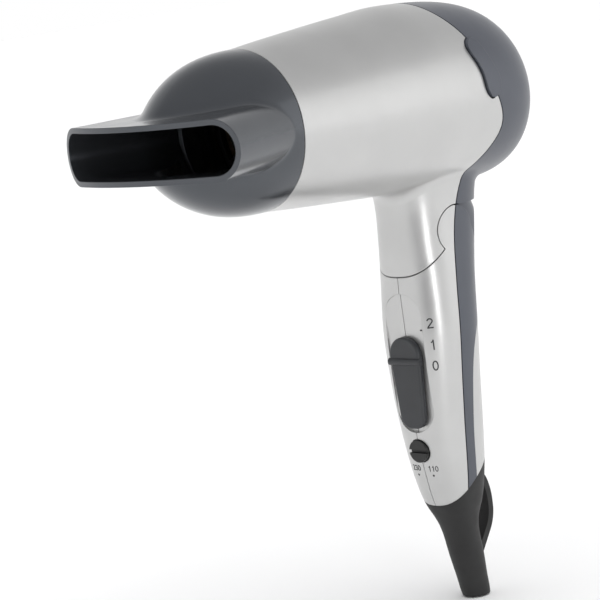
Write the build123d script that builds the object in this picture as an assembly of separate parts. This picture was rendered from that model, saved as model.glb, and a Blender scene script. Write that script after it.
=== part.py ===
from build123d import *
import os
from math import cos, pi, radians, sin, sqrt

# Travel hair dryer with a folding handle, in millimetres.
# Modelled about the barrel: X runs along the barrel axis from its front rim to the
# rear, the nozzle lies at negative X, +Y is the left side and Z is up. save() moves
# each piece so that the exported origin is the middle of the hand grip.

# ---- barrel ----
BARREL_FRONT_RADIUS = 27.0
BARREL_RADIUS = 32.4
BARREL_SHOULDER = 68.0
BARREL_END = 120.0
BARREL_DROOP = 4.4
BARREL_POWER = 5.0
INTAKE_FACE_RADIUS = 21.5
FRONT_STEPS = 6
REAR_STEPS = 9
WALL = 2.0
NECK_FILLET = 5.0

# ---- handle: height, front X, rear X, half width, roundness of the section ----
HANDLE_SECTIONS = [
    (-24.0, 62.5, 105.0, 16.5, 2.5),
    (-36.0, 64.0, 101.5, 14.8, 2.5),
    (-50.0, 63.6, 98.4, 14.7, 2.5),
    (-64.0, 63.0, 94.8, 15.4, 2.5),
    (-82.0, 61.7, 92.0, 16.0, 2.5),
    (-102.0, 61.4, 90.7, 14.7, 2.5),
    (-118.0, 62.2, 90.2, 13.2, 2.5),
    (-133.0, 64.2, 89.2, 11.6, 2.5),
    (-144.0, 66.8, 87.6, 9.7, 2.4),
    (-154.0, 71.3, 85.1, 6.8, 2.2),
    (-168.0, 74.3, 86.5, 6.0, 2.0),
    (-181.5, 77.5, 87.5, 5.0, 2.0),
]
GRIP_X = 76.5
GRIP_Z = -95.0
SHELL_END_FRONT = (66.6, -145.0)
SHELL_END_SLOPE = 36.5

# ---- fold joint ----
PIVOT_X = 81.0
PIVOT_Z = -48.0
KNUCKLE_RADIUS = 9.0
HEEL_RADIUS = 20.2
HEEL_WIDTH = 12.9
HEEL_POWER = 3.0
FOLD_ANGLE = 60.0
JOINT_GAP = 0.35
STOP_ANGLE = 217.0
PARTING_Z = PIVOT_Z + 8.4
LUG_WIDTH = 9.0
LUG_RADIUS = 6.2
WASHER = 0.5
PIN_RADIUS = 2.0
PIN_FIT = 0.05
PIN_LENGTH = 23.0
SEAM = 0.5
HALF_GAP = 0.12
SCREW_PLACES = [(84.5, -73.0), (82.5, -124.0)]
SCREW_BOSS = 3.0
SCREW_RADIUS = 1.2
SCREW_HEAD = 2.2
SCREW_SEAT = 6.0
SCREW_REACH = 8.0

# ---- nozzle ----
DOME_LENGTH = 47.6
DOME_POWER = 2.5
DOME_FRONT = 42.0
MOUTH_WIDTH = 89.0
MOUTH_HEIGHT = 18.8
MOUTH_X = -50.4
MOUTH_SWEEP = 10.4
THROAT_WIDTH = 52.5
THROAT_HEIGHT = 21.6
THROAT_X = -2.0
NOZZLE_WALL = 1.8
NOZZLE_BLEND = 5.0
NOZZLE_GAP = 0.35
COLLAR_FIT = 0.45
COLLAR_RADIUS = BARREL_FRONT_RADIUS - WALL - COLLAR_FIT
COLLAR_WALL = 1.5
COLLAR_DEPTH = 9.0
COLLAR_REACH = 7.0

# ---- air path ----
GRILLE_X = 9.8
GRILLE_THICK = 2.2
TUBE_RADIUS = 23.4
TUBE_WALL = 0.5
TUBE_END = 60.0
BOARD_THICK = 0.8
BOARD_MARGIN = 0.2
COIL_RADIUS = 18.0
COIL_WIRE = 0.7
COIL_COUNT = 6
COIL_PITCH = 6.0
COIL_START = 20.0
VANE_COUNT = 9
FAN_BLADES = 7
FAN_RADIUS = 27.0
FAN_HUB_RADIUS = 10.0
FAN_X = 88.5
FAN_DEPTH = 10.0
MOTOR_RADIUS = 12.0
MOTOR_X = 63.6
MOTOR_LENGTH = 22.4
SHAFT_RADIUS = 1.0
SHAFT_FIT = 0.05
GUIDE_FIT = 0.6
GUIDE_RADIUS = BARREL_RADIUS - WALL - GUIDE_FIT
INTAKE_RADIUS = 20.0

# ---- controls ----
RECESS_TOP = -67.3
RECESS_BOTTOM = -116.8
RECESS_WIDTH = 16.6
RECESS_FLOOR = 63.4
SLIDER_TOP = -82.4
SLIDER_BOTTOM = -115.2
SLIDER_WIDTH = 14.4
SLIDER_TIP_WIDTH = 10.4
SLIDER_TOP_ROUND = 6.6
SLIDER_TIP_ROUND = 4.4
SLIDER_FACE = 60.9
SLIDER_LIFT = 0.35
SLIDER_TRAVEL = 13.6
RIDGE_Z = -91.0
STEM_WIDTH = 3.6
STEM_LENGTH = 8.0
STEM_TIP = 68.0
STEM_Z = -102.0
SWITCH_BODY = ((65.6, -6.5, -108.5), (76.0, 6.5, -78.5))
SELECTOR_BODY = ((66.6, -5.5, -129.0), (74.0, 5.5, -118.0))
SLIDE_GAP = 0.3
DIAL_Z = -123.5
DIAL_RADIUS = 4.05
DIAL_FACE = 61.7
DIAL_SHAFT = 1.5

# ---- cord outlet ----
CORD_BORE = 3.4
LEAD_RADIUS = 0.9
BOOT_TOP = (78.3, -154.0)
BOOT_END = (82.5, -181.5)
LOOP_THICK = 2.6
LOOP_WIDTH = 7.0
LOOP_BENDS = (6.5, 20.0, 13.0)


def save(name, shape):
    """Export one piece, moved so that the grip centre is the origin."""
    export_step(Pos(-GRIP_X, 0, -GRIP_Z) * shape, f"parts/{name}.step")


def side_prism(outline_points):
    """Solid prism along Y of an outline given as (x, z) points."""
    points = [(x, 0, z) for x, z in outline_points]
    return extrude(make_face(Polyline(*points, close=True)), amount=60, dir=(0, 1, 0), both=True)


def side_zone(line, far):
    """Solid prism along Y of the region from a smooth (x, z) line back to X = far."""
    curve = Spline(*[(x, 0, z) for x, z in line])
    start, end = curve @ 0, curve @ 1
    rest = Polyline(end, (far, 0, end.Z), (far, 0, start.Z), start)
    return extrude(make_face([curve, rest]), amount=60, dir=(0, 1, 0), both=True)


def box_between(low, high):
    """Box from one corner to the opposite one."""
    size = [b - a for a, b in zip(low, high)]
    centre = [(a + b) / 2 for a, b in zip(low, high)]
    return Pos(*centre) * Box(*size)


def rod(start, end, radius):
    """Round bar between two points."""
    along = Vector(*end) - Vector(*start)
    plane = Plane(origin=start, z_dir=along)
    return extrude(plane * Circle(radius), amount=along.length)


def disc_x(x, thick, radius, z=0.0):
    """Disc whose axis is the barrel's, from x to x + thick."""
    return rod((x, 0, z), (x + thick, 0, z), radius)


def pin_y(x, z, low, high, radius):
    """Round bar along Y at (x, z)."""
    return rod((x, low, z), (x, high, z), radius)


# ---------------------------------------------------------------- outer skins

def barrel_station(share, inset):
    """X, radius and centre height of the barrel at a share of its rear cap."""
    end = BARREL_END - inset
    radius = BARREL_RADIUS - inset
    x = BARREL_SHOULDER + (end - BARREL_SHOULDER) * share
    return x, radius * (1 - share ** BARREL_POWER) ** (1 / BARREL_POWER), -BARREL_DROOP * share ** 2


def barrel_solid(inset):
    """The barrel's outside, or its inside when inset by the wall."""
    radius = BARREL_RADIUS - inset
    front = BARREL_FRONT_RADIUS - inset
    stations = []
    for step in range(FRONT_STEPS):
        share = step / FRONT_STEPS
        rise = share * (1.16 - 0.16 * share)
        stations.append((BARREL_SHOULDER * share, front + (radius - front) * rise, 0.0))
    last = (1 - (INTAKE_FACE_RADIUS / BARREL_RADIUS) ** BARREL_POWER) ** (1 / BARREL_POWER)
    for step in range(REAR_STEPS + 1):
        share = last * sin(pi / 2 * step / REAR_STEPS)
        stations.append(barrel_station(share, inset))
    rings = [Plane(origin=(x, 0, z), z_dir=(1, 0, 0)) * Circle(r) for x, r, z in stations]
    return loft(rings)


def intake_face():
    """X and centre height of the flat ring at the barrel's rear end."""
    last = (1 - (INTAKE_FACE_RADIUS / BARREL_RADIUS) ** BARREL_POWER) ** (1 / BARREL_POWER)
    x, _, z = barrel_station(last, 0.0)
    return x, z


def handle_section(z, front, rear, width, power, inset):
    """One rounded section of the neck, handle or boot."""
    half_depth = (rear - front) / 2 - inset
    half_width = width - inset
    centre = (rear + front) / 2
    points = []
    count = 20
    for step in range(count):
        angle = 2 * pi * step / count
        c, s = cos(angle), sin(angle)
        x = half_depth * abs(c) ** (2 / power) * (1 if c >= 0 else -1)
        y = half_width * abs(s) ** (2 / power) * (1 if s >= 0 else -1)
        points.append((centre + x, y, z))
    return make_face(Spline(*points, periodic=True))


def blended_row(index, share):
    """Row between two rows of the table, on a smooth curve through them."""
    last = len(HANDLE_SECTIONS) - 1
    rows = [HANDLE_SECTIONS[min(max(index + step, 0), last)] for step in (-1, 0, 1, 2)]
    run = rows[2][0] - rows[1][0]
    slopes = []
    for before, after in ((rows[0], rows[2]), (rows[1], rows[3])):
        slopes.append([(b - a) / (after[0] - before[0]) * run for a, b in zip(before, after)])
    t = share
    rise = 3 * t ** 2 - 2 * t ** 3
    weights = (1 - rise, t ** 3 - 2 * t ** 2 + t, rise, t ** 3 - t ** 2)
    mixed = []
    for column in range(len(rows[1])):
        terms = (rows[1][column], slopes[0][column], rows[2][column], slopes[1][column])
        mixed.append(sum(w * v for w, v in zip(weights, terms)))
    return mixed


def handle_solid(inset):
    """Neck, handle and boot as one smooth body."""
    faces = []
    for index in range(len(HANDLE_SECTIONS) - 1):
        faces.append(handle_section(*blended_row(index, 0.0), inset))
        faces.append(handle_section(*blended_row(index, 0.5), inset))
    faces.append(handle_section(*HANDLE_SECTIONS[-1], inset))
    return loft(faces)


def shell_end_cut():
    """Everything below the handle's slanted bottom edge."""
    x, z = SHELL_END_FRONT
    c, s = cos(radians(SHELL_END_SLOPE)), sin(radians(SHELL_END_SLOPE))
    back = (x - 40 * c, z - 40 * s)
    ahead = (x + 60 * c, z + 60 * s)
    return side_prism([back, ahead, (ahead[0], -260), (back[0], -260)])


def cover_zone(shift=0.0):
    """Region behind the line where silver meets the dark rear pieces."""
    line = [(79.5, 40), (80.6, 28), (84.4, 18), (87.8, 4), (92.8, -7), (94.2, -14), (91.6, -20.5),
            (87.4, -27.5), (83.4, -35.5), (80.3, -44.5), (77.4, -58.7), (75.2, -74), (73.6, -95),
            (73.3, -118), (74.0, -142), (74.6, -175)]
    return side_zone([(x + shift, z) for x, z in line], 160)


def inlay_zone():
    """Region of the silver rear panel of the handle."""
    line = [(99, -78.5), (88.5, -79.8), (83.2, -85.6), (80.2, -94), (78.6, -106), (77.9, -122),
            (78.4, -136), (79.4, -160)]
    return side_zone(line, 120)


# ---------------------------------------------------------------- fold joint

def handle_zone(gap):
    """Region that turns with the handle; a gap shrinks or grows it."""
    low = -260.0
    edge = PARTING_Z - gap
    knuckle = pin_y(PIVOT_X, PIVOT_Z, -60, 60, KNUCKLE_RADIUS - gap)
    c, s = cos(radians(STOP_ANGLE)), sin(radians(STOP_ANGLE))
    shift_x, shift_z = -s * gap, c * gap
    root = (PIVOT_X + shift_x, PIVOT_Z + shift_z)
    front = (PIVOT_X + 60 * c + shift_x, PIVOT_Z + 60 * s + shift_z)
    body = side_prism([root, front, (front[0], low), (140, low), (140, edge), (PIVOT_X, edge)])
    return body + knuckle


def heel_body(grow=0.0):
    """Round body about the pivot that fills the heel of the handle."""
    radius = HEEL_RADIUS + grow
    width = HEEL_WIDTH + grow
    points = []
    count = 9
    for step in range(count + 1):
        angle = pi / 2 * step / count
        r = radius * sin(angle) ** (2 / HEEL_POWER)
        y = width * cos(angle) ** (2 / HEEL_POWER)
        points.append((PIVOT_X + r, y, PIVOT_Z))
    curve = Spline(*points)
    start, end = curve @ 0, curve @ 1
    centre = (PIVOT_X, 0, PIVOT_Z)
    half = make_face([curve, Polyline(end, centre, start)])
    axis = Axis(centre, (0, 1, 0))
    upper = revolve(half, axis=axis, revolution_arc=360)
    return upper + mirror(upper, about=Plane.XZ)


def heel_trim():
    """What is taken off the handle so that its heel turns inside the neck."""
    edge = PARTING_Z - PIVOT_Z - JOINT_GAP - 0.3
    turned = Rot(0, FOLD_ANGLE + 1.0, 0) * Pos(0, 0, edge + 40) * Box(120, 80, 80)
    ahead = box_between((PIVOT_X, -40, PIVOT_Z - 40), (PIVOT_X + 60, 40, PIVOT_Z + 40))
    corner = pin_y(PIVOT_X, PIVOT_Z, -60, 60, KNUCKLE_RADIUS + JOINT_GAP)
    corner &= box_between((PIVOT_X, -60, PIVOT_Z + 3), (PIVOT_X + 60, 60, PIVOT_Z + 40))
    block = ((Pos(PIVOT_X, 0, PIVOT_Z) * turned) & ahead) + corner
    inner = pin_y(PIVOT_X, PIVOT_Z, -60, 60, KNUCKLE_RADIUS - JOINT_GAP)
    return block - inner - heel_body()


def neck_pocket():
    """Space in the neck that the turning heel sweeps."""
    ahead = box_between((PIVOT_X - 6.0, -40, PARTING_Z - 5), (PIVOT_X + 60, 40, PIVOT_Z + 40))
    return heel_body(0.5) & ahead


def lug(half_width, radius, reach):
    """Tongue of the neck that stands between the handle's two knuckles."""
    end = pin_y(PIVOT_X, PIVOT_Z, -half_width, half_width, radius)
    low = (PIVOT_X - radius, -half_width, PIVOT_Z)
    high = (PIVOT_X - 0.8, half_width, PIVOT_Z + reach)
    return end + box_between(low, high)


def fold_joint_parts():
    """Pin and two friction washers on which the head turns."""
    save("hinge_pin", pin_y(PIVOT_X, PIVOT_Z, -PIN_LENGTH / 2, PIN_LENGTH / 2, PIN_RADIUS))
    inner = LUG_WIDTH / 2 + PIN_FIT
    washers = []
    for side in (-1, 1):
        low, high = sorted((side * inner, side * (inner + WASHER)))
        ring = pin_y(PIVOT_X, PIVOT_Z, low, high, LUG_RADIUS - 0.7)
        washers.append(ring - pin_y(PIVOT_X, PIVOT_Z, low, high, PIN_RADIUS + PIN_FIT))
    save("hinge_washers", Compound(washers))


# ---------------------------------------------------------------- head shells

def whole_skin():
    """Barrel and handle blended together at the neck."""
    body = barrel_solid(0.0) + handle_solid(0.0)
    blend = []
    for edge in body.edges():
        limits = edge.bounding_box()
        if 100 < edge.length < 125 and limits.min.Z > -45 and limits.max.Z < -20:
            blend.append(edge)
    return fillet(blend, NECK_FILLET)


def head_shell(skin):
    """Hollow barrel and neck with the lug for the fold joint."""
    shell = skin - barrel_solid(WALL) - handle_solid(WALL)
    shell -= handle_zone(-JOINT_GAP / 2)
    shell -= neck_pocket()
    front = disc_x(-1.0, 3.0, BARREL_FRONT_RADIUS - WALL)
    return shell - front


def neck_bridge(skin):
    """Lug and cross wall that join it to the neck's sides."""
    wall = box_between((60, -20, PIVOT_Z + 11.8), (PIVOT_X - 4.0, 20, PIVOT_Z + 14.2))
    body = (wall & skin) + lug(LUG_WIDTH / 2, LUG_RADIUS, 14.2)
    return body - pin_y(PIVOT_X, PIVOT_Z, -20, 20, PIN_RADIUS + PIN_FIT)


def grip_tabs():
    """Raised finger grips on both sides of the rear cover."""
    lip = barrel_solid(-1.0) - barrel_solid(0.1)
    line = [(84.2, 17.5), (81.6, 14.6), (83.0, 10.0), (84.6, 4.0), (85.8, -1.4), (88.0, -3.4), (91.0, -2.2),
            (92.6, 2.0), (90.0, 10.0), (87.0, 17.0)]
    points = [(x, 0, z) for x, z in line]
    outline = extrude(make_face(Spline(*points, periodic=True)), amount=60, dir=(0, 1, 0), both=True)
    bridge = barrel_solid(0.2) - barrel_solid(WALL)
    return lip & outline, bridge & outline


def head_parts(skin):
    """Silver barrel with the neck, and the dark rear cover."""
    shell = head_shell(skin)
    raised, under = grip_tabs()
    pads = raised + under
    barrel = shell - cover_zone(-SEAM / 2) - pads - grip_clearance()
    save("barrel_shell", barrel + neck_bridge(skin))
    intake_x, intake_z = intake_face()
    cover = (shell & cover_zone(SEAM / 2)) + pads
    save("rear_cover", cover - disc_x(intake_x - 8, 20, INTAKE_RADIUS, intake_z))


def grip_clearance():
    """Thin gap round the part of the grips that reaches over the barrel."""
    line = [(84.2, 17.9), (81.2, 14.7), (82.6, 9.8), (84.2, 3.8), (85.4, -1.7), (88.0, -3.9), (91.0, -2.6),
            (93.0, 2.0), (90.4, 10.1), (87.2, 17.4)]
    points = [(x, 0, z) for x, z in line]
    return extrude(make_face(Spline(*points, periodic=True)), amount=60, dir=(0, 1, 0), both=True)


# ---------------------------------------------------------------- handle shells

def handle_bores():
    """Pin holes, lug slot, switch, dial and screw holes of the handle."""
    half_slot = LUG_WIDTH / 2 + WASHER + 0.15
    cuts = box_between((PIVOT_X - 10, -half_slot, -63), (PIVOT_X + 12.6, half_slot, PARTING_Z + 2))
    cuts += pin_y(PIVOT_X, PIVOT_Z, -PIN_LENGTH / 2, PIN_LENGTH / 2, PIN_RADIUS + 0.02)
    cuts += rod((55, 0, DIAL_Z), (72, 0, DIAL_Z), DIAL_RADIUS + 0.25)
    length = STEM_LENGTH + SLIDER_TRAVEL + 2 * SLIDE_GAP
    low = STEM_Z - STEM_LENGTH / 2 - SLIDE_GAP
    half = STEM_WIDTH / 2 + SLIDE_GAP
    cuts += box_between((60, -half, low), (70, half, low + length))
    return cuts + recess()


def recess():
    """Flat-floored well in which the slider runs."""
    centre = (RECESS_TOP + RECESS_BOTTOM) / 2
    plane = Plane(origin=(50, 0, centre), x_dir=(0, 0, 1), z_dir=(1, 0, 0))
    outline = plane * SlotOverall(RECESS_TOP - RECESS_BOTTOM, RECESS_WIDTH)
    return extrude(outline, amount=RECESS_FLOOR - 50)


def floor_pad(skin):
    """Extra thickness behind the recess so that its floor has a full wall."""
    low = (RECESS_FLOOR - 1, -10.5, RECESS_BOTTOM - 3)
    high = (RECESS_FLOOR + 1.6, 10.5, RECESS_TOP + 3)
    return box_between(low, high) & skin


def screw_boss(x, z, skin):
    """Post across the handle for a screw that holds the halves together."""
    return pin_y(x, z, -30, 30, SCREW_BOSS) & skin


def screw_hole(x, z):
    """Clearance hole with a counterbore on the left side."""
    hole = pin_y(x, z, -SCREW_REACH, 20, SCREW_RADIUS + 0.02)
    return hole + pin_y(x, z, SCREW_SEAT, 20, SCREW_HEAD + 0.3)


def handle_parts(skin):
    """Two silver halves, the dark spine, the rear inlay and the boot."""
    outside = (skin & handle_zone(JOINT_GAP / 2)) - heel_trim()
    below = shell_end_cut()
    cavity = handle_solid(WALL) & box_between((40, -30, BOOT_TOP[1] + 6), (120, 30, -61))
    posts = Part() + [screw_boss(x, z, skin) for x, z in SCREW_PLACES]
    solid = (outside - cavity) + (floor_pad(skin) & outside) + (posts & outside)
    holes = Part() + [screw_hole(x, z) for x, z in SCREW_PLACES]
    shell = solid - below - handle_bores() - holes
    silver = shell - cover_zone(-SEAM / 2)
    save("handle_left", silver & box_between((0, HALF_GAP, -200), (140, 40, 0)))
    save("handle_right", silver & box_between((0, -40, -200), (140, -HALF_GAP, 0)))
    dark = shell & cover_zone(SEAM / 2)
    save("handle_spine", dark - inlay_zone())
    save("spine_inlay", dark & inlay_zone())
    boot = (outside & below) - cavity
    save("cord_boot", boot - cord_hole())


def cord_hole():
    """Bore for the cord, from the hollow cap to the boot's lower end."""
    top = Vector(BOOT_TOP[0], 0, BOOT_TOP[1])
    end = Vector(BOOT_END[0], 0, BOOT_END[1])
    along = (end - top).normalized()
    start = top - along * 8
    finish = end + along * 4
    return rod((start.X, 0, start.Z), (finish.X, 0, finish.Z), CORD_BORE)


def hang_loop(skin):
    """Flat strap behind the boot for hanging the dryer on a hook."""
    route = [(83.0, 0, -137.5), (90.0, 0, -138.2), (92.6, 0, -146.5), (92.4, 0, -155.5), (83.5, 0, -166.8)]
    middle = FilletPolyline(*route, radius=LOOP_BENDS)
    start = Plane(origin=route[0], x_dir=(0, 1, 0), z_dir=middle % 0)
    strap = sweep(start * Rectangle(LOOP_WIDTH, LOOP_THICK), path=middle)
    save("hang_loop", strap - skin)


def controls():
    """Slider with its stem, the voltage dial and their bodies."""
    save("switch_slider", slider())
    save("voltage_dial", dial())
    low, high = SWITCH_BODY
    body = box_between(low, high)
    half = STEM_WIDTH / 2 + SLIDE_GAP
    start = STEM_Z - STEM_LENGTH / 2 - SLIDE_GAP
    finish = start + STEM_LENGTH + SLIDER_TRAVEL + 2 * SLIDE_GAP
    groove = box_between((low[0] - 1, -half, start), (STEM_TIP + 0.4, half, finish))
    save("switch_body", body - groove)
    low, high = SELECTOR_BODY
    seat = rod((DIAL_FACE, 0, DIAL_Z), (high[0] - 2, 0, DIAL_Z), DIAL_SHAFT + PIN_FIT)
    save("selector_body", box_between(low, high) - seat)


def slider():
    """Tapered thumb slider with a finger ridge and a stem."""
    back = RECESS_FLOOR - SLIDER_LIFT
    half, tip = SLIDER_WIDTH / 2, SLIDER_TIP_WIDTH / 2
    plane = Plane(origin=(SLIDER_FACE, 0, 0), x_dir=(0, 1, 0), z_dir=(1, 0, 0))
    corners = [(-half, SLIDER_TOP), (half, SLIDER_TOP), (tip, SLIDER_BOTTOM), (-tip, SLIDER_BOTTOM)]
    outline = plane * make_face(Polyline(*corners, close=True))
    ends = outline.vertices().sort_by(Axis.Z)
    outline = fillet(ends[2:], SLIDER_TOP_ROUND)
    ends = outline.vertices().sort_by(Axis.Z)
    outline = fillet(ends[:2], SLIDER_TIP_ROUND)
    body = extrude(outline, amount=back - SLIDER_FACE)
    rim = [edge for edge in body.edges() if edge.center().X < SLIDER_FACE + 0.05]
    body = fillet(rim, 0.8)
    ridge = rod((SLIDER_FACE + 0.3, -half + 0.2, RIDGE_Z), (SLIDER_FACE + 0.3, half - 0.2, RIDGE_Z), 1.3)
    ridge &= box_between((SLIDER_FACE - 2, -half, RIDGE_Z - 2), (back, half, RIDGE_Z + 2))
    low = (back - 0.5, -STEM_WIDTH / 2, STEM_Z - STEM_LENGTH / 2)
    high = (STEM_TIP, STEM_WIDTH / 2, STEM_Z + STEM_LENGTH / 2)
    return body + ridge + box_between(low, high)


def dial():
    """Slotted selector for the mains voltage."""
    low, high = SELECTOR_BODY
    knob = rod((DIAL_FACE, 0, DIAL_Z), (low[0] - SLIDE_GAP, 0, DIAL_Z), DIAL_RADIUS)
    shaft = rod((low[0] - 1, 0, DIAL_Z), (high[0] - 2.5, 0, DIAL_Z), DIAL_SHAFT)
    reach = DIAL_RADIUS + 1
    slot = box_between((DIAL_FACE - 1, -reach, DIAL_Z - 0.6), (DIAL_FACE + 1.2, reach, DIAL_Z + 0.6))
    return knob + shaft - slot


# ---------------------------------------------------------------- nozzle

def dome_solid(inset):
    """Round shoulder of the nozzle, on the barrel's axis."""
    radius = BARREL_FRONT_RADIUS - inset
    length = DOME_LENGTH - inset
    points = []
    steps = 5
    for step in range(steps + 1):
        x = (DOME_FRONT - inset) * step / steps
        points.append((-x, 0, radius * (1 - (x / length) ** DOME_POWER)))
    curve = Spline(*points)
    start, end = curve @ 0, curve @ 1
    face = make_face([curve, Polyline(end, (end.X, 0, 0), (start.X, 0, 0), start)])
    return revolve(face, axis=Axis.X, revolution_arc=360)


def duct_solid(inset):
    """Flat duct of the nozzle, wider at its mouth."""
    mouth = Plane(origin=(MOUTH_X - 4, 0, 0), x_dir=(0, 1, 0), z_dir=(1, 0, 0))
    throat = Plane(origin=(THROAT_X, 0, 0), x_dir=(0, 1, 0), z_dir=(1, 0, 0))
    first = mouth * SlotOverall(MOUTH_WIDTH - 2 * inset, MOUTH_HEIGHT - 2 * inset)
    last = throat * SlotOverall(THROAT_WIDTH - 2 * inset, THROAT_HEIGHT - 2 * inset)
    return loft([first, last])


def mouth_cut():
    """Curved front of the nozzle, whose ends are swept back."""
    half = MOUTH_WIDTH / 2
    middle = (MOUTH_X, 0, -40)
    ends = [(MOUTH_X + MOUTH_SWEEP, side * half, -40) for side in (-1, 1)]
    arc = ThreePointArc(ends[0], middle, ends[1])
    ahead = Polyline(ends[1], (MOUTH_X + MOUTH_SWEEP, 70, -40), (-90, 70, -40), (-90, -70, -40),
                     (MOUTH_X + MOUTH_SWEEP, -70, -40), ends[0])
    return extrude(make_face([arc, ahead]), amount=80, dir=(0, 0, 1))


def nozzle_parts():
    """Concentrator nozzle and the collar on which it swivels."""
    outer = dome_solid(0.0) + duct_solid(0.0)
    crease = []
    for edge in outer.edges():
        limits = edge.bounding_box()
        if limits.min.X > -DOME_FRONT and limits.max.X < -2.5:
            crease.append(edge)
    outer = fillet(crease, NOZZLE_BLEND)
    inner = dome_solid(NOZZLE_WALL) + duct_solid(NOZZLE_WALL)
    shell = outer - inner - mouth_cut() - disc_x(-NOZZLE_GAP, 5, 40)
    groove_radius = COLLAR_RADIUS + 1.3
    shell -= disc_x(-COLLAR_REACH, COLLAR_REACH, COLLAR_RADIUS + JOINT_GAP)
    groove = disc_x(-COLLAR_REACH + 0.5, 2.4, groove_radius)
    save("concentrator_nozzle", shell - groove)
    ring = disc_x(-COLLAR_REACH + 0.4, COLLAR_REACH + COLLAR_DEPTH - 0.4, COLLAR_RADIUS)
    ring += disc_x(-COLLAR_REACH + 0.9, 1.6, groove_radius - JOINT_GAP)
    save("nozzle_collar", ring - disc_x(-20, 40, COLLAR_RADIUS - COLLAR_WALL))


# ---------------------------------------------------------------- air path

def ring_x(x, thick, outer, inner):
    """Flat ring round the barrel axis."""
    return disc_x(x, thick, outer) - disc_x(x - 1, thick + 2, inner)


def spokes(x, thick, inner, outer, count, width):
    """Radial bars between two rings."""
    bar = Pos(x + thick / 2, 0, (inner + outer) / 2) * Box(thick, width, outer - inner)
    return Part() + [Rot(360 * step / count, 0, 0) * bar for step in range(count)]


def outlet_grille():
    """Ring grille that guards the heater."""
    rim = disc_x(GRILLE_X, GRILLE_THICK, BARREL_FRONT_RADIUS) & barrel_solid(WALL + 0.5)
    rim -= disc_x(GRILLE_X - 1, GRILLE_THICK + 2, TUBE_RADIUS - 1.4)
    body = rim + disc_x(GRILLE_X, GRILLE_THICK, 2.6)
    for radius in (7.0, 12.0, 17.0):
        body += ring_x(GRILLE_X, GRILLE_THICK, radius + 0.6, radius - 0.6)
    save("outlet_grille", body + spokes(GRILLE_X, GRILLE_THICK, 2.0, TUBE_RADIUS - 1.0, 6, 1.3))


def heater():
    """Insulating tube, crossed boards, heating coils and the two cut-outs."""
    start = GRILLE_X + GRILLE_THICK
    save("heat_tube", ring_x(start, TUBE_END - start, TUBE_RADIUS, TUBE_RADIUS - TUBE_WALL))
    half = TUBE_RADIUS - TUBE_WALL - BOARD_MARGIN
    thick = BOARD_THICK / 2
    low, high = start + 0.6, TUBE_END - 2
    boards = box_between((low, -thick, -half), (high, thick, half))
    boards += box_between((low, -half, -thick), (high, half, thick))
    coils = []
    for index in range(COIL_COUNT):
        plane = Plane(origin=(COIL_START + index * COIL_PITCH, 0, 0), z_dir=(1, 0, 0))
        coils.append(plane * Torus(COIL_RADIUS, COIL_WIRE))
        boards -= plane * Torus(COIL_RADIUS, COIL_WIRE + BOARD_MARGIN)
    save("mica_boards", boards)
    save("heater_coils", Compound(coils))
    save("thermostat", rod((46, 9.5, thick), (46, 9.5, thick + 3.6), 5.0))
    save("thermal_fuse", rod((26, -9.5, thick + 1.8), (38, -9.5, thick + 1.8), 1.8))


def air_guide():
    """Motor holder whose vanes straighten the air."""
    body = ring_x(62, 18, GUIDE_RADIUS, GUIDE_RADIUS - 1.5)
    body += ring_x(62, 18, MOTOR_RADIUS + 2, MOTOR_RADIUS + 0.1)
    body += ring_x(62, 1.2, MOTOR_RADIUS + 2, 4.0)
    reach = GUIDE_RADIUS - 1 - MOTOR_RADIUS - 1
    middle = (GUIDE_RADIUS + MOTOR_RADIUS) / 2
    blade = Pos(70, 0, middle) * Rot(0, 0, 14) * Box(18, 1.2, reach)
    vanes = Part() + [Rot(360 * step / VANE_COUNT, 0, 0) * blade for step in range(VANE_COUNT)]
    vanes &= ring_x(62, 18, GUIDE_RADIUS - 0.5, MOTOR_RADIUS + 1)
    seat = ring_x(TUBE_END, 2.2, TUBE_RADIUS + 1.2, TUBE_RADIUS - 1.6)
    save("air_guide", body + vanes + seat)


def motor():
    """Direct-current motor, its rectifier board, the shaft and the fan."""
    can = disc_x(MOTOR_X, MOTOR_LENGTH, MOTOR_RADIUS)
    end = MOTOR_X + MOTOR_LENGTH
    save("motor_can", can - disc_x(end - 8, 10, SHAFT_RADIUS + SHAFT_FIT))
    save("rectifier_board", disc_x(60.3, 1.4, 11.0))
    save("motor_shaft", disc_x(end - 7.5, 7.5 + FAN_X - end + FAN_DEPTH - 1.5, SHAFT_RADIUS))
    hub = disc_x(FAN_X, FAN_DEPTH, FAN_HUB_RADIUS)
    reach = FAN_RADIUS - FAN_HUB_RADIUS + 2
    middle = Pos(FAN_X + FAN_DEPTH / 2, 0, FAN_HUB_RADIUS - 2 + reach / 2)
    blade = middle * Rot(0, 0, 38) * Box(11.5, 1.3, reach)
    blades = Part() + [Rot(360 * step / FAN_BLADES, 0, 0) * blade for step in range(FAN_BLADES)]
    blades &= disc_x(FAN_X, FAN_DEPTH, FAN_RADIUS)
    save("fan", hub + blades - disc_x(FAN_X - 1, FAN_DEPTH - 0.5, SHAFT_RADIUS + 0.02))


def intake():
    """Rear grille and the lint screen behind it."""
    x, z = intake_face()
    plate = disc_x(x - 2, 2, INTAKE_RADIUS - 0.1, z) + disc_x(x, 0.9, INTAKE_RADIUS + 0.8, z)
    for index in range(-4, 5):
        height = z + index * 3.8
        half = sqrt(17.6 ** 2 - (index * 3.8) ** 2)
        plate -= box_between((x - 3, -half, height - 1.0), (x + 3, half, height + 1.0))
    save("intake_grille", plate)
    save("lint_screen", disc_x(x - 2.5, 0.4, INTAKE_RADIUS - 0.2, z))


# ---------------------------------------------------------------- inside the handle

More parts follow.
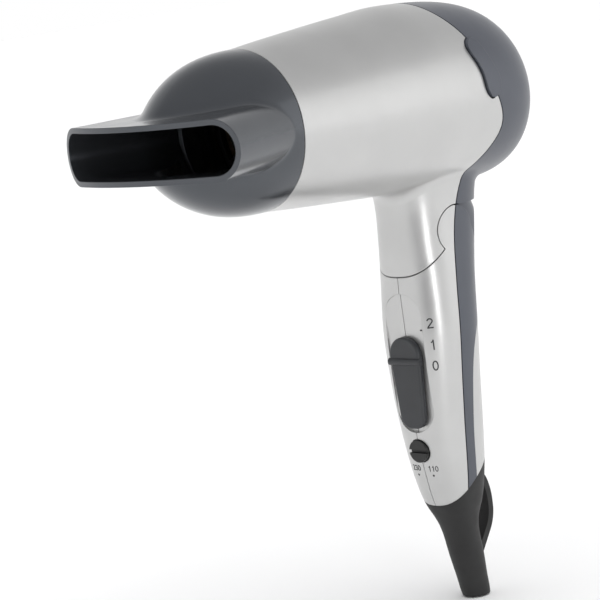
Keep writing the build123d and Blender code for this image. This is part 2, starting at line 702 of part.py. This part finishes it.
def wiring():
    """Cord clamp, its screws and the leads."""
    clamp = box_between((72.6, -6.4, -139.4), (83.4, 6.4, -136.6))
    save("cord_clamp", clamp - rod((77.5, 0, -150), (77.5, 0, -130), 2.6))
    low, high = SWITCH_BODY
    ends = (75.6, 78.4)
    lower = [rod((x + 0.7, 0, -142), (x - 0.6, 0, low[2] - 0.1), LEAD_RADIUS) for x in ends]
    save("supply_leads", Compound(lower))
    upper = [rod((73.2, y, high[2] + 1.0), (81.0, y, -60.0), LEAD_RADIUS) for y in (-2.6, 0.0, 2.6)]
    save("fold_leads", Compound(upper))


def screws():
    """Screws that hold the handle's halves together."""
    made = []
    for x, z in SCREW_PLACES:
        made.append(pin_y(x, z, -SCREW_REACH, SCREW_SEAT + 0.5, SCREW_RADIUS)
                    + pin_y(x, z, SCREW_SEAT, SCREW_SEAT + 1.6, SCREW_HEAD))
    save("handle_screws", Compound(made))


def main():
    os.makedirs("parts", exist_ok=True)
    skin = whole_skin()
    head_parts(skin)
    handle_parts(skin)
    hang_loop(skin)
    fold_joint_parts()
    controls()
    nozzle_parts()
    outlet_grille()
    heater()
    air_guide()
    motor()
    intake()
    wiring()
    screws()


main()
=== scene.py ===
from math import cos, radians, sin

import bmesh
import bpy
from mathutils import Matrix, Vector
from mathutils.bvhtree import BVHTree

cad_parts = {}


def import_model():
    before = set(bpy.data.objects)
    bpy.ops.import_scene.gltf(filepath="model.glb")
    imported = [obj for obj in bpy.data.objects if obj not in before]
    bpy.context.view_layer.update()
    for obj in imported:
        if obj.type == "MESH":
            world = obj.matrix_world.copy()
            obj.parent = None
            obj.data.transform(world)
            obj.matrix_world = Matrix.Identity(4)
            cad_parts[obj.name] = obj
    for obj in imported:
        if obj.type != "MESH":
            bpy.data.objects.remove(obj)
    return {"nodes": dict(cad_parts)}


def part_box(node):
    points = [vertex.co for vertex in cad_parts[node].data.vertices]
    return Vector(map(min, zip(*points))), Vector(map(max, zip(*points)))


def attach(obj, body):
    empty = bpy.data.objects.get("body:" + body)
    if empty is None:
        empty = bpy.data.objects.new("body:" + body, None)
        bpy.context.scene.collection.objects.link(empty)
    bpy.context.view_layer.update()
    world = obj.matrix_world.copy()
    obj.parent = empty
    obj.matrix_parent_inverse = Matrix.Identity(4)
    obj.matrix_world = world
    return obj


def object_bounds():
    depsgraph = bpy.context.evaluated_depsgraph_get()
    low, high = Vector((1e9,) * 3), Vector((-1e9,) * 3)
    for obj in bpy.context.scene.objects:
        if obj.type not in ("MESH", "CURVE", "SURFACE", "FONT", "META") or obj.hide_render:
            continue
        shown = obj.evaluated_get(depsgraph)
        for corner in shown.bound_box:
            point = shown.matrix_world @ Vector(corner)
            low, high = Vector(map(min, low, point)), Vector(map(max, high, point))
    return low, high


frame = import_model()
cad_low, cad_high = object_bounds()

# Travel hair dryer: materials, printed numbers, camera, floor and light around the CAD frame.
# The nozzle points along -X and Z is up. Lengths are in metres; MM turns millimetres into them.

MM = 0.001
nodes = frame["nodes"]
scene = bpy.context.scene


# ---------------------------------------------------------------- materials

NOISE_LOW, NOISE_HIGH = 0.3, 0.7    # most of a noise lies between these values

# Scales of the noises and of the screen's waves, in cycles per metre
LACQUER_CLOUD, LACQUER_SMEAR, LACQUER_WAVE, LACQUER_FLAKE = 55.0, 140.0, 120.0, 9000.0
PLASTIC_CLOUD, PLASTIC_SMEAR, PLASTIC_GRAIN, RUBBER_GRAIN = 90.0, 210.0, 2600.0, 1900.0
METAL_STREAK = 1800.0
BOARD_FLECK = 700.0
SCREEN_PITCH = 420.0
FLOOR_CLOUD = 3.0

# Depths of the bump layers and radii of the softened edges
FLAKE_DEPTH, WAVE_DEPTH, GRAIN_DEPTH = 0.00002, 0.00006, 0.00005
STREAK_DEPTH, FLECK_DEPTH, WEAVE_DEPTH = 0.00003, 0.0001, 0.0002
LACQUER_EDGE, PLASTIC_EDGE = 0.35 * MM, 0.25 * MM

# Shares of a colour or a roughness that it has where its noise is low and where it is high
LACQUER_TONES, LACQUER_SHEEN = (0.975, 1.02), (0.93, 1.07)
PLASTIC_TONES, PLASTIC_SHEEN = (0.88, 1.12), (0.92, 1.08)
METAL_TONES, METAL_SHEEN = (0.85, 1.0), (0.8, 1.2)
SCREEN_HOLE_TONE = 0.15

COAT_ROUGHNESS = 0.22
WAVE_STRENGTH = 0.04
STREAK_STRENGTH = 0.15
FLECK_STRENGTH = 0.2
WEAVE_STRENGTH = 0.6
BEVEL_SAMPLES = 4


def scaled(colour, factor):
    """The colour made lighter or darker."""
    return tuple(min(1.0, channel * factor) for channel in colour)


def colour_ramp(tree, source, stops):
    """Ramp between two (position, grey or colour) stops."""
    ramp = tree.nodes.new("ShaderNodeValToRGB")
    for element, (position, colour) in zip(ramp.color_ramp.elements, stops):
        element.position = position
        channels = (colour, colour, colour) if isinstance(colour, float) else colour
        element.color = (*channels, 1)
    tree.links.new(source, ramp.inputs["Fac"])
    return ramp.outputs["Color"]


class Shader:
    """Short helper for building one procedural material."""

    def __init__(self, name):
        self.material = bpy.data.materials.new(name)
        self.material.use_nodes = True
        self.tree = self.material.node_tree
        self.bsdf = self.tree.nodes["Principled BSDF"]
        self.coords = self.tree.nodes.new("ShaderNodeTexCoord")

    def set(self, **values):
        """Constant values on the shader's own sockets."""
        for key, value in values.items():
            self.bsdf.inputs[key.replace("_", " ")].default_value = value

    def node(self, kind, **settings):
        """New node, with its properties and constant inputs set by name."""
        made = self.tree.nodes.new(kind)
        for key, value in settings.items():
            if hasattr(made, key):
                setattr(made, key, value)
            else:
                made.inputs[key].default_value = value
        return made

    def link(self, source, target):
        self.tree.links.new(source, target)

    def noise(self, scale, detail, roughness=0.5, stretch=(1, 1, 1)):
        """Noise in the object's own coordinates, with scale in cycles per metre."""
        mapping = self.node("ShaderNodeMapping", Scale=stretch)
        texture = self.node("ShaderNodeTexNoise", Scale=scale, Detail=detail, Roughness=roughness)
        self.link(self.coords.outputs["Object"], mapping.inputs["Vector"])
        self.link(mapping.outputs["Vector"], texture.inputs["Vector"])
        return texture.outputs["Fac"]

    def vary(self, socket, source, low, high, start=NOISE_LOW, end=NOISE_HIGH):
        """Takes an input of the shader from one value to another as the source rises."""
        stops = [(start, low), (end, high)]
        self.link(colour_ramp(self.tree, source, stops), self.bsdf.inputs[socket])

    def drift(self, socket, source, value, shares):
        """Lets an input drift between two shares of its value."""
        ends = [value * share if isinstance(value, float) else scaled(value, share)
                for share in shares]
        self.vary(socket, source, *ends)

    def soften(self, radius):
        """Rounds sharp edges in the shading, so that they catch the light."""
        bevel = self.node("ShaderNodeBevel", samples=BEVEL_SAMPLES, Radius=radius)
        self.link(bevel.outputs["Normal"], self.bsdf.inputs["Normal"])

    def bump(self, height, strength, distance):
        """Adds a bump layer on top of those already made."""
        bump = self.node("ShaderNodeBump", Strength=strength, Distance=distance)
        self.link(height, bump.inputs["Height"])
        previous = self.bsdf.inputs["Normal"]
        if previous.is_linked:
            self.link(previous.links[0].from_socket, bump.inputs["Normal"])
        self.link(bump.outputs["Normal"], previous)


def lacquer(name, colour, metallic, roughness, coat, flake=0.0):
    """Sprayed satin finish with an uneven sheen and, where asked for, fine flake."""
    shader = Shader(name)
    shader.set(Metallic=metallic, Coat_Weight=coat, Coat_Roughness=COAT_ROUGHNESS)
    shader.soften(LACQUER_EDGE)
    shader.drift("Base Color", shader.noise(LACQUER_CLOUD, detail=4.0), colour, LACQUER_TONES)
    shader.drift("Roughness", shader.noise(LACQUER_SMEAR, detail=3.0), roughness, LACQUER_SHEEN)
    if flake:
        shader.bump(shader.noise(LACQUER_FLAKE, detail=1.0), flake, FLAKE_DEPTH)
    shader.bump(shader.noise(LACQUER_WAVE, detail=2.0), WAVE_STRENGTH, WAVE_DEPTH)
    return shader.material


def moulded(name, colour, roughness, grain=0.25, scale=PLASTIC_GRAIN, specular=0.5):
    """Injection-moulded plastic or rubber with a fine spark-eroded grain."""
    shader = Shader(name)
    shader.set(Specular_IOR_Level=specular)
    shader.soften(PLASTIC_EDGE)
    shader.drift("Base Color", shader.noise(PLASTIC_CLOUD, detail=3.0), colour, PLASTIC_TONES)
    shader.drift("Roughness", shader.noise(PLASTIC_SMEAR, detail=3.0), roughness, PLASTIC_SHEEN)
    shader.bump(shader.noise(scale, detail=2.0), grain, GRAIN_DEPTH)
    return shader.material


def metal(name, colour, roughness, stretch=(1, 1, 1)):
    """Machined metal or wire with fine streaks, drawn out where stretch is small."""
    shader = Shader(name)
    shader.set(Metallic=1.0)
    streak = shader.noise(METAL_STREAK, detail=3.0, roughness=0.6, stretch=stretch)
    shader.drift("Base Color", streak, colour, METAL_TONES)
    shader.drift("Roughness", streak, roughness, METAL_SHEEN)
    shader.bump(streak, STREAK_STRENGTH, STREAK_DEPTH)
    return shader.material


def woven(name, colour):
    """Fine woven wire screen, with crossed waves in the YZ plane."""
    shader = Shader(name)
    shader.set(Metallic=0.8, Roughness=0.45)
    both = shader.node("ShaderNodeMath", operation="MULTIPLY")
    for place, direction in enumerate(("Y", "Z")):
        wave = shader.node("ShaderNodeTexWave", bands_direction=direction, Scale=SCREEN_PITCH,
                           Distortion=0.0)
        shader.link(shader.coords.outputs["Object"], wave.inputs["Vector"])
        shader.link(wave.outputs["Fac"], both.inputs[place])
    weave = both.outputs[0]
    shader.vary("Base Color", weave, colour, scaled(colour, SCREEN_HOLE_TONE), start=0.1, end=0.5)
    shader.bump(weave, WEAVE_STRENGTH, WEAVE_DEPTH)
    return shader.material


def board(name, colour, spot):
    """Sheet of mica or laminate with flecks."""
    shader = Shader(name)
    shader.set(Roughness=0.5)
    fleck = shader.noise(BOARD_FLECK, detail=5.0, roughness=0.7)
    shader.vary("Base Color", fleck, spot, colour, start=0.35, end=0.6)
    shader.bump(fleck, FLECK_STRENGTH, FLECK_DEPTH)
    return shader.material


def paint(material, *names):
    """Gives CAD nodes a material."""
    for name in names:
        materials = nodes[name].data.materials
        materials.clear()
        materials.append(material)


SILVER = (0.56, 0.56, 0.555)
DARK = (0.076, 0.083, 0.102)
NOZZLE = (0.088, 0.094, 0.104)
CONTROL = (0.031, 0.033, 0.037)
DIAL = (0.010, 0.010, 0.010)
INNER = (0.018, 0.018, 0.02)
GUIDE = (0.035, 0.036, 0.04)
RUBBER = (0.023, 0.023, 0.023)
INTAKE = (0.060, 0.064, 0.076)
LEAD = (0.30, 0.03, 0.025)
INK = (0.045, 0.046, 0.048)
STEEL = (0.62, 0.62, 0.63)
HEATING_WIRE = (0.45, 0.42, 0.40)
FUSE = (0.78, 0.78, 0.78)
SCREEN = (0.50, 0.50, 0.51)
MICA, MICA_SPOT = (0.60, 0.50, 0.34), (0.42, 0.33, 0.20)
LAMINATE, LAMINATE_SPOT = (0.03, 0.20, 0.08), (0.02, 0.12, 0.05)

silver = lacquer("silver_lacquer", SILVER, metallic=0.78, roughness=0.32, coat=0.0, flake=0.12)
dark = lacquer("dark_lacquer", DARK, metallic=0.35, roughness=0.36, coat=0.25, flake=0.05)
nozzle_grey = lacquer("nozzle_plastic", NOZZLE, metallic=0.75, roughness=0.19, coat=0.1)
control_black = moulded("control_plastic", CONTROL, roughness=0.4)
dial_black = moulded("dial_plastic", DIAL, roughness=0.42)
inner_black = moulded("inner_plastic", INNER, roughness=0.5)
guide_black = moulded("guide_plastic", GUIDE, roughness=0.48)
rubber = moulded("boot_rubber", RUBBER, roughness=0.58, grain=0.35, scale=RUBBER_GRAIN,
                 specular=0.35)
intake_grey = moulded("intake_plastic", INTAKE, roughness=0.45)
steel = metal("machined_steel", STEEL, roughness=0.3, stretch=(1, 0.1, 1))
wire = metal("heating_wire", HEATING_WIRE, roughness=0.35)
fuse_metal = metal("fuse_metal", FUSE, roughness=0.25)
screen = woven("screen_mesh", SCREEN)
mica = board("mica_board", MICA, MICA_SPOT)
laminate = board("circuit_board", LAMINATE, LAMINATE_SPOT)
lead_red = moulded("lead_jacket", LEAD, roughness=0.45)
ink = moulded("printed_ink", INK, roughness=0.55, grain=0.05)

paint(silver, "barrel_shell", "handle_left", "handle_right", "spine_inlay")
paint(dark, "rear_cover", "handle_spine")
paint(nozzle_grey, "concentrator_nozzle", "nozzle_collar")
paint(control_black, "switch_slider")
paint(dial_black, "voltage_dial")
paint(inner_black, "outlet_grille", "switch_body", "selector_body", "cord_clamp")
paint(guide_black, "air_guide", "fan")
paint(rubber, "cord_boot", "hang_loop")
paint(intake_grey, "intake_grille")
paint(screen, "lint_screen")
paint(mica, "heat_tube", "mica_boards")
paint(wire, "heater_coils")
paint(steel, "hinge_pin", "hinge_washers", "motor_can", "motor_shaft", "handle_screws",
      "thermostat")
paint(laminate, "rectifier_board")
paint(fuse_metal, "thermal_fuse")
paint(lead_red, "supply_leads", "fold_leads")


# ---------------------------------------------------------------- printed numbers

def surface_of(*names):
    """Search tree over the meshes of some CAD nodes."""
    shapes = bmesh.new()
    for name in names:
        shapes.from_mesh(nodes[name].data)
    tree = BVHTree.FromBMesh(shapes)
    shapes.free()
    return tree


def arc(centre, radii, start, end, steps=14):
    """Points on an elliptic arc, with the angles in degrees."""
    turns = [radians(start + (end - start) * step / steps) for step in range(steps + 1)]
    return [(centre[0] + radii[0] * cos(turn), centre[1] + radii[1] * sin(turn)) for turn in turns]


# Lines that each digit is drawn with, in a box one high and centred on the origin
DIGITS = {
    "0": [arc((0, 0), (0.235, 0.435), 90, 450, 28)],
    "1": [[(-0.15, 0.23), (0.02, 0.33), (0.07, 0.5)], [(0.07, 0.5), (0.07, -0.5)]],
    "2": [arc((0, 0.22), (0.235, 0.215), 175, -35) + [(-0.20, -0.34), (-0.235, -0.43)],
          [(-0.30, -0.435), (0.30, -0.435)]],
    "3": [arc((-0.01, 0.225), (0.2, 0.21), 165, -90),
          arc((-0.01, -0.205), (0.245, 0.225), 90, -165)],
}
STROKE = 0.13           # width of a digit's lines, as a share of its height
ADVANCE = 0.68          # from one digit to the next, as a share of their height
SAME_POINT = 1e-6       # a line whose ends are this near each other is closed

LONGEST_EDGE = 0.7 * MM     # of the print's mesh, so that it follows the skin
SUBDIVISIONS = 3
RAY_LEAD = 6            # millimetres outside the skin, from where it is searched for
PRINT_LIFT = 0.03       # millimetres from the skin to the print
PRINT_THICKNESS = 0.04 * MM


def strip(work, line, width):
    """Flat band of even width along a line of points."""
    points = [Vector((x, y, 0)) for x, y in line]
    closed = (points[0] - points[-1]).length < SAME_POINT
    edges = []
    for index, point in enumerate(points):
        before = points[index - 1] if index else (points[-2] if closed else point)
        after = points[index + 1] if index < len(points) - 1 else (points[1] if closed else point)
        along = (after - before).normalized()
        aside = Vector((-along.y, along.x, 0)) * width / 2
        edges.append((work.verts.new(point + aside), work.verts.new(point - aside)))
    for (left, right), (next_left, next_right) in zip(edges, edges[1:]):
        work.faces.new((left, right, next_right, next_left))


def lay(name, mesh, centre, facing, skin, body):
    """Drops a flat mesh in its XY plane on to the skin, with a hair of thickness.

    The centre is near the skin, and facing points out of it."""
    out = Vector(facing).normalized()
    across = Vector((0, 0, 1)).cross(out).normalized()
    up = out.cross(across)
    turn = Matrix((across, up, out)).transposed()
    work = bmesh.new()
    work.from_mesh(mesh)
    for face in work.faces:
        if face.normal.z < 0:
            face.normal_flip()
    bmesh.ops.triangulate(work, faces=work.faces)
    for _ in range(SUBDIVISIONS):
        long_edges = [edge for edge in work.edges if edge.calc_length() > LONGEST_EDGE]
        if long_edges:
            bmesh.ops.subdivide_edges(work, edges=long_edges, cuts=1)
            bmesh.ops.triangulate(work, faces=work.faces)
    for vertex in work.verts:
        start = Vector(centre) + turn @ vertex.co + out * RAY_LEAD * MM
        hit, _, _, _ = skin.ray_cast(start, -out)
        vertex.co = (hit or start) + out * PRINT_LIFT * MM
    flat = bpy.data.meshes.new(name)
    work.to_mesh(flat)
    work.free()
    flat.materials.append(ink)
    made = bpy.data.objects.new(name, flat)
    scene.collection.objects.link(made)
    thick = made.modifiers.new("thickness", "SOLIDIFY")
    thick.thickness = PRINT_THICKNESS
    thick.offset = 1.0
    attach(made, body)


def print_text(name, text, height, centre, facing, skin, body):
    """Numerals laid on the skin."""
    work = bmesh.new()
    for place, digit in enumerate(text):
        shift = (place - (len(text) - 1) / 2) * ADVANCE
        for line in DIGITS[digit]:
            strip(work, [((x + shift) * height, y * height) for x, y in line], STROKE * height)
    mesh = bpy.data.meshes.new(name + "_flat")
    work.to_mesh(mesh)
    work.free()
    lay(name, mesh, centre, facing, skin, body)


def print_dot(name, radius, centre, facing, skin, body):
    """Round dot laid on the skin."""
    work = bmesh.new()
    bmesh.ops.create_circle(work, cap_ends=True, radius=radius, segments=24)
    mesh = bpy.data.meshes.new(name + "_flat")
    work.to_mesh(mesh)
    work.free()
    lay(name, mesh, centre, facing, skin, body)


# Beside the slider: places behind its front, out to the side and below its top
SWITCH_DROPS = {"2": -4.6 * MM, "1": 3.0 * MM, "0": 10.4 * MM}
SWITCH_HEIGHT = 3.6 * MM
SWITCH_BEHIND, SWITCH_SIDE = 4.4 * MM, -11.3 * MM
SWITCH_FACING = (-0.62, -0.78, 0.0)
MARK_RADIUS = 0.3 * MM
MARK_BEHIND, MARK_SIDE, MARK_RISE = 2.8 * MM, -8.3 * MM, 2.3 * MM

# Below the dial, one voltage on each side of it, with a dot under each
VOLTS_SIDES = {"110": -4.3 * MM, "230": 4.3 * MM}
VOLTS_HEIGHT = 2.1 * MM
VOLTS_BEHIND, VOLTS_DROP = 3.0 * MM, 2.6 * MM
VOLTS_FACING = (-0.93, 0.36)
DOT_RADIUS = 0.4 * MM
DOT_BEHIND, DOT_DROP = 3.4 * MM, 2.6 * MM
DOT_SHARE = 0.9         # a dot's distance to the side, as a share of its voltage's


def numbers():
    """Switch positions 2, 1 and 0 beside the slider, and the voltages below the dial."""
    skin = surface_of("handle_left", "handle_right")
    slider_low, slider_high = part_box("switch_slider")
    dial_low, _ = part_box("voltage_dial")
    front = slider_low[0]
    top = slider_high[2]
    for text, drop in SWITCH_DROPS.items():
        centre = (front + SWITCH_BEHIND, SWITCH_SIDE, top - drop)
        print_text("number_" + text, text, SWITCH_HEIGHT, centre, SWITCH_FACING, skin, "handle")
    centre = (front + MARK_BEHIND, MARK_SIDE, top + MARK_RISE)
    print_dot("mark_rest", MARK_RADIUS, centre, SWITCH_FACING, skin, "handle")
    below = dial_low[2] - VOLTS_DROP
    ahead, aside = VOLTS_FACING
    for text, y in VOLTS_SIDES.items():
        facing = (ahead, aside if y > 0 else -aside, 0.0)
        centre = (front + VOLTS_BEHIND, y, below)
        print_text("volts_" + text, text, VOLTS_HEIGHT, centre, facing, skin, "handle")
        centre = (front + DOT_BEHIND, y * DOT_SHARE, below - DOT_DROP)
        print_dot("dot_" + text, DOT_RADIUS, centre, facing, skin, "handle")


numbers()


# ---------------------------------------------------------------- camera, floor and light

LENS = 142.08                               # millimetres
SENSOR = 36.0                               # millimetres
AZIMUTH, ELEVATION, ROLL = radians(-45.0), radians(8.855), radians(8.057)
TARGET = (-0.07560, -0.01326, 0.03894)
DISTANCE = 0.77017
CLIP_START, CLIP_END = 0.01, 20.0

FLOOR_HALF = 6.0        # half the floor's side
FLOOR_SEGMENTS = 40
FLOOR_GAP = 0.0005      # below the lowest point of the boot
FLOOR_DARK, FLOOR_LIGHT = 0.90, 0.93

WHITE = (1.0, 1.0, 1.0)
CEILING = (0.47, 0.47, 0.475)
UNLIT = (0.12, 0.12, 0.13)
DARK_SIDE = (-0.70, -0.70, 0.12)
CEILING_STOPS = [(0.1, WHITE), (0.75, CEILING)]     # by height
UNLIT_STOPS = [(0.72, WHITE), (0.93, UNLIT)]        # by nearness to the dark side's direction
SUN_SPREAD = radians(70)


def camera():
    """Camera ahead of the nozzle and to the -Y side, slightly above the barrel."""
    data = bpy.data.cameras.new("camera")
    data.lens = LENS
    data.sensor_width = SENSOR
    data.clip_start = CLIP_START
    data.clip_end = CLIP_END
    made = bpy.data.objects.new("camera", data)
    scene.collection.objects.link(made)
    level = cos(ELEVATION)
    back = Vector((sin(AZIMUTH) * level, -cos(AZIMUTH) * level, sin(ELEVATION)))
    right = (-back).cross(Vector((0, 0, 1))).normalized()
    up = right.cross(-back)
    right_rolled = right * cos(ROLL) - up * sin(ROLL)
    up_rolled = right * sin(ROLL) + up * cos(ROLL)
    turn = Matrix((right_rolled, up_rolled, back)).transposed().to_4x4()
    made.matrix_world = Matrix.Translation(Vector(TARGET) + back * DISTANCE) @ turn
    scene.camera = made


def area_light(name, place, target, size, power):
    """Soft rectangular lamp aimed at a point."""
    data = bpy.data.lights.new(name, "AREA")
    data.shape = "RECTANGLE"
    data.size, data.size_y = size
    data.energy = power
    made = bpy.data.objects.new(name, data)
    scene.collection.objects.link(made)
    made.location = place
    aim = Vector(target) - Vector(place)
    made.rotation_euler = aim.to_track_quat("-Z", "Y").to_euler()


def floor(low):
    """Wide pale floor just under the boot."""
    work = bmesh.new()
    bmesh.ops.create_grid(work, x_segments=FLOOR_SEGMENTS, y_segments=FLOOR_SEGMENTS,
                          size=FLOOR_HALF)
    for vertex in work.verts:
        vertex.co.z = low - FLOOR_GAP
    mesh = bpy.data.meshes.new("floor")
    work.to_mesh(mesh)
    work.free()
    made = bpy.data.objects.new("floor", mesh)
    shader = Shader("floor_paper")
    shader.set(Roughness=0.75)
    cloud = shader.noise(FLOOR_CLOUD, detail=3.0)
    shader.vary("Base Color", cloud, FLOOR_DARK, FLOOR_LIGHT)
    mesh.materials.append(shader.material)
    scene.collection.objects.link(made)


def world():
    """White studio surround, greyer overhead and dark on the side where the room is unlit."""
    surround = bpy.data.worlds.new("studio")
    scene.world = surround
    surround.use_nodes = True
    tree = surround.node_tree
    coords = tree.nodes.new("ShaderNodeTexCoord")
    parts = tree.nodes.new("ShaderNodeSeparateXYZ")
    tree.links.new(coords.outputs["Generated"], parts.inputs["Vector"])
    ceiling = colour_ramp(tree, parts.outputs["Z"], CEILING_STOPS)
    toward = tree.nodes.new("ShaderNodeVectorMath")
    toward.operation = "DOT_PRODUCT"
    toward.inputs[1].default_value = DARK_SIDE
    tree.links.new(coords.outputs["Generated"], toward.inputs[0])
    unlit = colour_ramp(tree, toward.outputs["Value"], UNLIT_STOPS)
    both = tree.nodes.new("ShaderNodeMix")
    both.data_type = "RGBA"
    both.blend_type = "MULTIPLY"
    both.inputs["Factor"].default_value = 1.0
    tree.links.new(ceiling, both.inputs["A"])
    tree.links.new(unlit, both.inputs["B"])
    background = tree.nodes["Background"]
    tree.links.new(both.outputs["Result"], background.inputs["Color"])
    background.inputs["Strength"].default_value = 1.0


def sun(power, tilt):
    """Very soft overhead light that keeps the floor evenly white, with tilt in degrees."""
    data = bpy.data.lights.new("sun", "SUN")
    data.energy = power
    data.angle = SUN_SPREAD
    made = bpy.data.objects.new("sun", data)
    made.rotation_euler = (radians(tilt), 0, 0)
    made.visible_glossy = False
    scene.collection.objects.link(made)


scene.view_settings.view_transform = "Standard"
camera()
floor(cad_low[2])
world()
area_light("strip", place=(-0.60, -1.20, -0.10), target=(0, 0, -0.02), size=(0.16, 1.1), power=5.0)
area_light("side", place=(0.80, -1.10, 0.30), target=(0, 0, 0.05), size=(1.0, 0.9), power=1.1)
sun(power=2.0, tilt=10)
